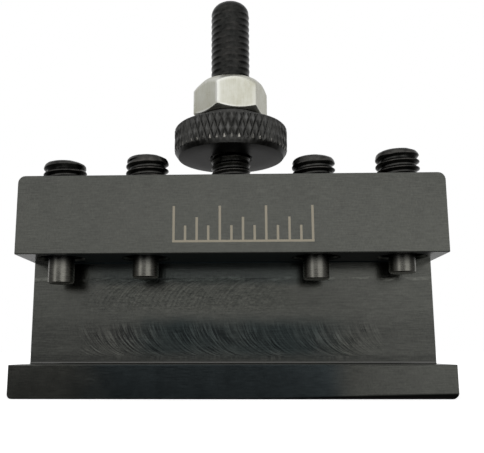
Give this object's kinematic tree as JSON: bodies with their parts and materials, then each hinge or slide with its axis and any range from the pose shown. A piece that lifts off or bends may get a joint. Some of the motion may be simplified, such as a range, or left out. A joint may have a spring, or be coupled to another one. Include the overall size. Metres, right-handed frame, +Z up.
{
  "type": "quick-change tool holder",
  "caption": "Turning and facing tool holder for a quick-change tool post: slotted steel block with clamp screws, a rear dovetail and a knurled height stop on a threaded stud.",
  "frame": {"origin": "centre of the block's base, straight below the height stud", "axes": "+Z up along the height stud, X along the tool slot, -Y out of the open side of the slot, +Y towards the tool post"},
  "size_m": [0.056, 0.024, 0.0596],
  "materials": {
    "blackened_block": "black oxide, ground and brushed",
    "blackened_thread": "black oxide, lightly oiled",
    "bright_steel": "bright satin"
  },
  "bodies": {
    "holder": {"holder_body": "blackened_block", "height_stud": "blackened_thread"},
    "height_nut": {"height_nut": "blackened_thread"},
    "lock_nut": {"lock_nut": "bright_steel"},
    "screw_1": {"clamp_screw_1": "blackened_thread"},
    "screw_2": {"clamp_screw_2": "blackened_thread"},
    "screw_3": {"clamp_screw_3": "blackened_thread"},
    "screw_4": {"clamp_screw_4": "blackened_thread"}
  },
  "joints": [
    {"name": "screw_1_travel", "type": "slide", "parent": "holder", "child": "screw_1", "axis": [0, 0, 1], "range_m": [-0.0105, 0.0034]},
    {"name": "screw_2_travel", "type": "slide", "parent": "holder", "child": "screw_2", "axis": [0, 0, 1], "range_m": [-0.0112, 0.0027]},
    {"name": "screw_3_travel", "type": "slide", "parent": "holder", "child": "screw_3", "axis": [0, 0, 1], "range_m": [-0.0109, 0.003]},
    {"name": "screw_4_travel", "type": "slide", "parent": "holder", "child": "screw_4", "axis": [0, 0, 1], "range_m": [-0.0117, 0.0022]},
    {"name": "height_adjust", "type": "slide", "parent": "holder", "child": "height_nut", "axis": [0, 0, 1], "range_m": [-0.0056, 0.006]},
    {"name": "lock_nut_travel", "type": "slide", "parent": "height_nut", "child": "lock_nut", "axis": [0, 0, 1], "range_m": [0, 0.006]}
  ]
}
